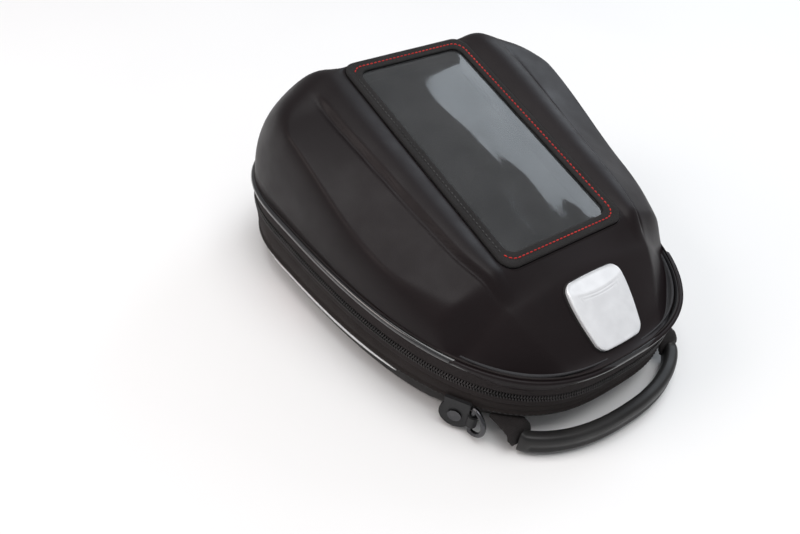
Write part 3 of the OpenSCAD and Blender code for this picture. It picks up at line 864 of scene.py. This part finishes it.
def make_gusset():
    """Cloth side band with a sewn hem at the tray's edge and a slight belly."""
    a = even_angles(360)
    y = outline(a)[1]
    top = parting_z(y) - 6.6
    tuck = 3 * farness(y)
    rows = []
    profile = [(-0.4, 4.7), (-0.9, 3.0), (-0.5, 1.9), (0.8, 1.75), (1.9, 2.1), (2.3, 2.6)]
    for lift, d in profile:
        rows.append(ring(a, d + tuck, TRAY_TOP + 0.1 + lift))
    for t in np.linspace(0.3, 1, 8):
        belly = 0.55 * math.sin(math.pi * t)
        ripple = np.array([0.22 * noise.noise(Vector((v * 9, t * 1.5, 3.3))) for v in a])
        z = mix(TRAY_TOP + 2, top, t)
        d = 2.5 - belly - ripple * math.sin(math.pi * t) + tuck * (1 - t)
        rows.append(ring(a, d, z))
    rows.append(ring(a, 4, top))
    rows.append(ring(a, 4.6 + tuck, TRAY_TOP))
    band = grid("gusset", rows, GUSSET, around=True, along=True)
    hem = ring(a, 1.65 + tuck, TRAY_TOP + 0.7)
    seam = stitches("hem", np.concatenate([hem, hem[:1]]), DARK_THREAD_AND_PAINTED_SHADE, 3.2, 2.3, 0.28)
    return place("gusset_cloth", "base", join("gusset", [band, seam]), ["gusset_band"])


ZIP_FIRST = math.pi / 2 + HINGE_ZONE
ZIP_LAST = math.pi / 2 + 2 * math.pi - HINGE_ZONE


def zip_band(name, low, high, from_rim=False):
    """Tape between two heights above the parting line, with a thick woven edge."""
    a = even_angles(380, ZIP_FIRST, ZIP_LAST, closed=False)
    y = outline(a)[1]
    base = parting_z(y) + low
    top = (rim_z(y) if from_rim else parting_z(y)) + high
    rows = []
    for t, d in ((0, 2.8), (0, 1.75), (0.12, 1.5), (0.3, 1.62), (0.5, 1.66), (0.75, 1.62), (0.9, 1.52),
                 (1, 1.75), (1, 2.8)):
        rows.append(ring(a, d, mix(base, top, t)))
    return grid(name, rows, TAPE, along=True)


def coil_half(name, side):
    """Teeth of one half of the zip: a loop of coil every pitch along the parting line."""
    pitch = 1.75
    count = int(outline_length(ZIP_FIRST, ZIP_LAST) / pitch)
    a = even_angles(count, ZIP_FIRST, ZIP_LAST, closed=False)
    ax, ay = outline(a)
    nx, ny = outward(ax, ay)
    tx, ty = -ny, nx
    verts, faces = [], []
    sides = 6
    arc = [(-0.05, 2.7), (0.0, 1.5), (0.35, 1.02), (1.0, 0.92), (1.7, 1.05), (2.05, 1.6), (2.1, 2.6)]
    for k in range(count):
        shift = 0.0 if side > 0 else pitch / 2
        z0 = parting_z(ay[k]) + side * 0.12
        first = len(verts)
        for i, (up, d) in enumerate(arc):
            lean = shift + 0.28 * up
            cx = ax[k] - d * nx[k] + tx[k] * lean
            cy = ay[k] - d * ny[k] + ty[k] * lean
            before, after = arc[max(i - 1, 0)], arc[min(i + 1, len(arc) - 1)]
            gu, gd = after[0] - before[0], after[1] - before[1]
            size = math.hypot(gu, gd)
            pu, pd = gd / size, -gu / size
            for j in range(sides):
                b = 2 * math.pi * j / sides
                across, out = 0.62 * math.cos(b), 0.36 * math.sin(b)
                verts.append((cx + tx[k] * across - nx[k] * pd * out, cy + ty[k] * across - ny[k] * pd * out,
                              z0 + side * (up + pu * out)))
        faces += tube_faces(first, len(arc), sides)
    return solid(name, verts, faces, COIL)


def make_zip():
    place("zip_tape_lower_cloth", "base", zip_band("tape_l", -6.5, -2.0), ["zip_tape_lower"])
    place("zip_tape_upper_cloth", "lid", zip_band("tape_u", 2.0, -PIPE_R - 0.1, True),
          ["zip_tape_upper"])
    place("zip_coil_lower_teeth", "base", coil_half("coil_l", -1), ["zip_coil_lower"])
    place("zip_coil_upper_teeth", "lid", coil_half("coil_u", 1), ["zip_coil_upper"])


def make_hinge_fabric():
    """Folded cloth where the zip stops, from the base up to just under the lid's piping."""
    a = np.linspace(math.pi / 2 - HINGE_ZONE + 0.01, math.pi / 2 + HINGE_ZONE - 0.01, 60)
    y = outline(a)[1]
    low, high = parting_z(y) - 6.5, rim_z(y) - PIPE_R - 0.1
    rows = []
    for t in np.linspace(0, 1, 22):
        fold = 0.35 * math.sin(3 * math.pi * t) * math.sin(math.pi * t)
        rows.append(ring(a, 1.7 + fold, mix(low, high, t)))
    sheet = thicken(grid("hinge", rows, GUSSET), 1.0)
    piece = place("hinge_cloth", None, sheet, ["hinge_fabric"])
    middle = Vector((0, TAIL_Y, 0))
    start, end = middle.copy(), middle.copy()
    start.z, end.z = float(low.mean()) + 4, float(high.mean()) - 3
    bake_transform(piece)


def wall_strip(name, side, y0, y1, heights, halves, material):
    """Thin moulded strip on the tray's wall, thickest in the middle and pointed at its ends."""
    rows = []
    for s in np.linspace(0, 1, 60):
        y = mix(y0, y1, s)
        x = side * side_x(y)
        n = np.array(outward(x, y))
        z = mix(*heights, s)
        half = mix(*halves, s) * (0.12 + 0.88 * math.sin(math.pi * s) ** 0.7)
        row = []
        for u, out in ((-1, -0.5), (-1, 0.35), (-0.8, 0.6), (0, 0.72), (0.8, 0.6), (1, 0.35), (1, -0.5)):
            h = z + u * half
            t = np.clip((h - TRAY_LOW) / (TRAY_TOP - TRAY_LOW), 0, 1)
            p = np.array([x, y]) - (tray_inset(t, y) - out) * n
            row.append((p[0], p[1], h))
        rows.append(row)
    return grid(name, rows, material, around=True, caps=True)


def make_trims():
    silver = [wall_strip("s", s, 92, -58, (10.5, 15), (1.6, 2.4), SILVER) for s in (-1, 1)]
    red = [wall_strip("r", s, 76, 8, (15.2, 18), (1.2, 1.9), RED) for s in (-1, 1)]
    place("silver_trim_strips", "base", join("silver", silver), ["silver_trims"])
    place("red_trim_strips", "base", join("red", red), ["red_trims"])


def make_base_lining():
    """Cloth inside the base, from the board up over the gusset, with a soft fold."""
    a = even_angles(220)
    y = outline(a)[1]
    top = parting_z(y) - 6.6
    tuck = 3 * farness(y)
    levels = [(9, tray_inset(0.3, y) + 3.9), (15, tray_inset(0.6, y) + 4.2),
              (TRAY_TOP, 8.8 + noseness(y) + tuck), (TRAY_TOP + 4, 7.6 + 0.6 * noseness(y) + 0.7 * tuck)]
    rows = [ring(a, d, z) for z, d in levels]
    rows.append(ring(a, 6.2, top))
    for row in rows[1:-1]:
        for p in row:
            k = 1 - 0.006 * (1 + noise.noise(Vector(p) / 14))
            p[0] *= k
            p[1] *= k
    lining = thicken(grid("lining", rows, LINING, around=True), 0.8, offset=1.0)
    piece = place("base_lining_cloth", "base", lining, ["base_lining"])


def make_floor_board():
    """Padded board: its top is swollen by a short cloth simulation, and stitched round its edge."""
    low, high = mm_box("floor_board")
    outer = even_angles(160)
    tuck = 3 * farness(outline(outer)[1])
    middle = (low[2] + high[2]) / 2
    rows = []
    for d, z in ((60, low[2]), (16, low[2]), (13.2, low[2] + 0.3), (12.6, middle), (13.2, high[2] - 0.6),
                 (16, high[2] - 0.3), (60, high[2] - 0.3)):
        rows.append(ring(outer, d + tuck, z))
    board = grid("board", rows, BOARD, around=True, caps=True)
    edge = np.stack(inset(outer, 22 + tuck), 1)
    swollen = swell(board, 2.6, 4.0, 3.0, lambda x, y, z: z > middle + 0.6 and inside_loop(x, y, edge))
    seam_path = ring(outer, 20 + tuck, high[2] - 0.2)
    seam = stitches("board_seam", np.concatenate([seam_path, seam_path[:1]]), DARK_THREAD_AND_PAINTED_SHADE, 3.4, 2.5, 0.35)
    for face in swollen.data.polygons:
        face.use_smooth = True
    piece = place("floor_board_pad", "base", join("board", [swollen, seam]), ["floor_board"])


# ---- Phone pocket ----
def make_phone_pocket():
    """Cloth tray under the film, sagging a little, with its mouth at the nose end."""
    rows = []
    for t in np.linspace(0, 1, 8):
        sag = 0.8 * math.sin(math.pi * t)
        loop = rect_loop(POCKET_X - sag, POCKET_Y - sag, 6)
        rows.append(window_local(*loop.T, mix(POCKET_TOP, POCKET_FLOOR + 1.4, t)))
    for k, z in ((0.985, 0.4), (0.95, 0), (0.8, 0), (0.6, -0.2), (0.4, -0.3), (0.2, -0.3), (0.0, -0.3)):
        loop = rect_loop(POCKET_X, POCKET_Y, 6) * k
        wave = np.array([0.3 * noise.noise(Vector((p[0] / 20, p[1] / 20, 0.4))) for p in loop])
        rows.append(window_local(*loop.T, POCKET_FLOOR + 0.2 + z + wave * (k < 0.9)))
    pocket = grid("pocket", rows, POCKET, around=True)
    work = bmesh.new()
    work.from_mesh(pocket.data)
    mouth = [face for face in work.faces if at_mouth(face.calc_center_median() / MM)]
    bmesh.ops.delete(work, geom=mouth, context="FACES")
    work.to_mesh(pocket.data)
    work.free()
    piece = place("phone_pocket_cloth", "lid", thicken(pocket, 1.0, even=False), ["phone_pocket"])


def at_mouth(p):
    """Whether a point in mm lies in the pocket's mouth, in the middle of its wall at the nose end."""
    c, s = math.cos(WINDOW_SLOPE), math.sin(WINDOW_SLOPE)
    y = (p.y - WINDOW_AT.y) * c + (p.z - WINDOW_AT.z) * s
    z = (p.z - WINDOW_AT.z) * c - (p.y - WINDOW_AT.y) * s
    return abs(p.x) < MOUTH_HALF and y < -POCKET_Y + 3 and POCKET_FLOOR + 1 < z < POCKET_TOP - 1.5


def make_pocket_flap():
    """Cloth flap that closes the pocket's mouth, bowed a little, with its lower edge set out a little."""
    rows = []
    for t in np.linspace(0, 1, 12):
        x = np.linspace(-FLAP_HALF, FLAP_HALF, 48)
        bow = 0.35 * np.sin(math.pi * t) * np.cos(x / 30) + 0.25 * (t > 0.9)
        z = mix(POCKET_TOP - 1.2, POCKET_FLOOR + 0.4, t)
        rows.append(window_local(x, -POCKET_Y - 1.2 - bow, z))
    flap = thicken(grid("flap", rows, BORDER), 1.1)
    piece = place("pocket_flap_cloth", "pocket_flap", flap, ["pocket_flap"])


# ---- Handle ----
def grip_path(b):
    x = GRIP_HALF * np.sign(b) * np.abs(np.sin(b)) ** 0.85
    return xyz(x, GRIP_Y + 21 * (1 - np.abs(np.cos(b)) ** 1.6), GRIP_Z)


def make_grip():
    """Moulded grip with flared ends and a long channel along its outer face."""
    b = np.linspace(-math.pi / 2, math.pi / 2, 121)
    b = np.sign(b) * (math.pi / 2) * (np.abs(b) / (math.pi / 2)) ** 0.8
    path = grip_path(b)
    run = np.linspace(-1, 1, len(b))
    ends = smooth(0.80, 1.0, np.abs(run))
    tangent = np.gradient(path, axis=0)
    tangent /= np.linalg.norm(tangent, axis=1)[:, None]
    out = xyz(tangent[:, 1], -tangent[:, 0], 0)
    e = np.linspace(0, 2 * math.pi, 41)[:-1]
    rows = []
    for i in range(len(b)):
        channel = float(smooth(0.78, 0.70, abs(run[i])))
        wide, tall = 4.5 - 0.9 * ends[i], 6.9 + 0.8 * ends[i]
        c, s = signed_power(np.cos(e), 0.62), signed_power(np.sin(e), 0.62)
        face = np.exp(-((s * tall + 1.2) / 1.5) ** 4) * (c > 0.6)
        w = wide * c - 1.1 * channel * face
        h = np.maximum(tall * s, -GRIP_Z + 0.4)
        rows.append(path[i] + out[i] * w[:, None] + np.array([0, 0, 1.0]) * h[:, None])
    grip = grid("grip", rows, GRIP, around=True, caps=True)
    return place("handle_grip_rubber", "handle", grip, ["handle_grip"])


def make_straps():
    """Webbing from under the gusset, over the bend and down to the grip's end."""
    for side, name in ((-1, "left"), (1, "right")):
        end = grip_path(np.array([side * math.pi / 2]))[0]
        lead = [(-114.5, 17.6), (-119, 17.5), (-123, 17.4), (STRAP_Y, STRAP_Z), (-129.2, 16.3),
                (-130.9, 14.6), (-131.7, 12.4), (-132.0, 9.8), (-132.1, 6.6)]
        t, fine = np.linspace(0, 1, len(lead)), np.linspace(0, 1, 44)
        line = np.stack([np.interp(fine, t, column) for column in np.array(lead).T], 1)
        for _ in range(3):
            line[1:-1] = (line[:-2] + 2 * line[1:-1] + line[2:]) / 4
        y, z = line.T
        x = mix(side * STRAP_X, end[0], smooth(-127, -133, y))
        ty, tz = np.gradient(y), np.gradient(z)
        size = np.hypot(ty, tz)
        ny, nz = -tz / size, ty / size
        rows = []
        outline_section = [(-1, -0.6), (-0.97, -1.1), (-0.5, -1.2), (0, -1.2), (0.5, -1.2), (0.97, -1.1),
                           (1, -0.6), (1, 0.6), (0.97, 1.1), (0.5, 1.2), (0, 1.2), (-0.5, 1.2),
                           (-0.97, 1.1), (-1, 0.6)]
        for i in range(len(y)):
            row = []
            for u, v in outline_section:
                edge = 0.7 * noise.noise(Vector((y[i] / 3.4, z[i] / 3.4, 4.0 * u * side))) * abs(u)
                half = (STRAP_HALF + edge) * (1 - 0.35 * float(smooth(12, 7, z[i])))
                row.append((x[i] + u * half, y[i] + ny[i] * v * 0.95, z[i] + nz[i] * v * 0.95))
            rows.append(row)
        strap = grid("strap", rows, WEBBING, around=True, caps=True)
        piece = place("handle_webbing_" + name, None, strap,
                      ["handle_strap_" + name, "handle_anchors"])
        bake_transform(piece)


def make_release_strap():
    """Red webbing sewn to the latch bolt, out through the lock ring and along the tray's trench."""
    low, high = mm_box("release_strap")
    half, half_thick, lie = 7.3, 0.85, low[2] + 0.95
    y = [low[1] + 1.3, low[1] + 1.3, low[1] + 1.9, low[1] + 3.6, *np.linspace(low[1] + 6, high[1], 60)]
    z = [high[2] - 0.1, low[2] + 2.6, low[2] + 1.4] + [lie] * 61
    path = xyz(0, y, z)
    u = np.array([-1, -0.96, 0, 0.96, 1, 0.96, 0, -0.96]) * half
    v = np.array([0, 1, 1, 1, 0, -1, -1, -1]) * half_thick
    strap = sweep("release", path, np.stack([v, u], 1), STRAP_RED, up=(1, 0, 0))
    piece = place("release_strap_webbing", "latch", strap, ["release_strap"])


def make_springs():
    """The two springs behind the latch bolt."""
    low, high = mm_box("latch_springs")
    turns, wire, coil_r = 6, 0.35, 1.15
    t = np.linspace(0, 1, turns * 20)
    b = 2 * math.pi * turns * t
    springs = []
    for side in (-1, 1):
        x = side * (high[0] - coil_r - 0.4) + coil_r * np.cos(b)
        z = (low[2] + high[2]) / 2 + coil_r * np.sin(b)
        path = xyz(x, mix(low[1] + wire, high[1] - wire, t), z)
        springs.append(sweep("spring", path, circle(wire, 8), STEEL, up=(0, 1, 0)))
    piece = place("latch_spring_coils", "base", join("springs", springs), ["latch_springs"])
    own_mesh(piece)


# ---- CAD nodes that stay, with a finish and softened edges ----
def dress(node, material, bevel=0.0):
    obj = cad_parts[node]
    for slot in obj.material_slots:
        slot.material = material
    if not obj.material_slots:
        obj.data.materials.append(material)
    if bevel:
        modify(obj, "BEVEL", width=bevel * MM, segments=2, limit_method="ANGLE", angle_limit=0.6)


def dress_frame():
    for node, material, bevel in (
            ("stiffener_plate", STIFFENER, 0), ("lock_ring", LOCK, 0.4), ("lock_screws", STEEL, 0.15),
            ("base_pads", PAD, 0.6), ("ring_tab_left", TAB, 0.3), ("ring_tab_right", TAB, 0.3),
            ("tab_eyelets", DARK_METAL, 0.2), ("latch_bolt", LOCK, 0.3),
            ("d_ring_left", DARK_METAL, 0), ("d_ring_right", DARK_METAL, 0),
            ("badge_studs", STUD, 0.15),
            ("zip_slider_a", DARK_METAL, 0.25), ("zip_slider_b", DARK_METAL, 0.25),
            ("zip_pull_a", DARK_METAL, 0.25), ("zip_pull_b", DARK_METAL, 0.25)):
        dress(node, material, bevel)


# ---- Studio ----
def make_floor():
    mesh = bpy.data.meshes.new("floor")
    size = 6.0
    mesh.from_pydata([(-size, -size, 0), (size, -size, 0), (size, size, 0), (-size, size, 0)], [],
                     [(0, 1, 2, 3)])
    floor = new_object("floor", mesh)
    m = Nodes("studio_floor")
    m.two_tone(m.noise(m.coordinates(), 3, 2), (0.86, 0.86, 0.86), (0.88, 0.88, 0.88))
    mesh.materials.append(m.set(Roughness=0.6, Specular_IOR_Level=0.2))


def make_light(name, at, target, size, power, color=(1, 1, 1)):
    data = bpy.data.lights.new(name, "AREA")
    data.shape = "RECTANGLE"
    data.size, data.size_y = size
    data.energy = power
    data.color = color
    light = new_object(name, data)
    light.location = at
    direction = Vector(target) - Vector(at)
    light.rotation_euler = direction.to_track_quat("-Z", "Y").to_euler()


def make_lights():
    world = bpy.data.worlds.new("studio")
    bpy.context.scene.world = world
    world.use_nodes = True
    background = world.node_tree.nodes["Background"]
    background.inputs["Color"].default_value = (0.97, 0.98, 1.0, 1)
    background.inputs["Strength"].default_value = 0.4
    bpy.context.scene.view_settings.view_transform = "Standard"
    middle = (0, 0, 0.08)
    make_light("softbox_right", (1.36, 0.40, 0.86), middle, (0.7, 1.0), 6, (0.82, 0.91, 1.0))
    make_light("softbox_left", (-1.3, 0.5, 1.0), middle, (0.8, 0.8), 9, (1.0, 0.90, 0.86))
    make_light("overhead", (-0.1, -0.2, 1.9), middle, (1.4, 1.4), 24)


CAMERA_AT = (-0.3320, -0.2987, 0.3825)
CAMERA_RIGHT = Vector((0.7373, -0.6756, 0.0))
CAMERA_FORWARD = Vector((0.5134, 0.5603, -0.6500))
CAMERA_ROLL = 0.144677
FOCAL_WIDTHS = 817.09 / 800


def make_camera():
    data = bpy.data.cameras.new("camera")
    data.sensor_width = 36
    data.lens = data.sensor_width * FOCAL_WIDTHS
    data.clip_start, data.clip_end = 0.01, 50
    camera = new_object("camera", data)
    back = -CAMERA_FORWARD.normalized()
    right = CAMERA_RIGHT.normalized()
    up = back.cross(right).normalized()
    c, s = math.cos(CAMERA_ROLL), math.sin(CAMERA_ROLL)
    x = right * c + up * s
    y = up * c - right * s
    turn = Matrix((x, y, back)).transposed()
    camera.matrix_world = Matrix.Translation(CAMERA_AT) @ turn.to_4x4()
    bpy.context.scene.camera = camera


make_camera()
make_floor()
make_lights()
make_lid_shell()
make_lid_lining()
make_piping()
make_window_frame()
make_window_stitches()
make_window_film()
make_badge()
make_tray()
make_gusset()
make_zip()
make_hinge_fabric()
make_trims()
make_base_lining()
make_floor_board()
make_phone_pocket()
make_pocket_flap()
make_grip()
make_straps()
make_release_strap()
make_springs()
dress_frame()
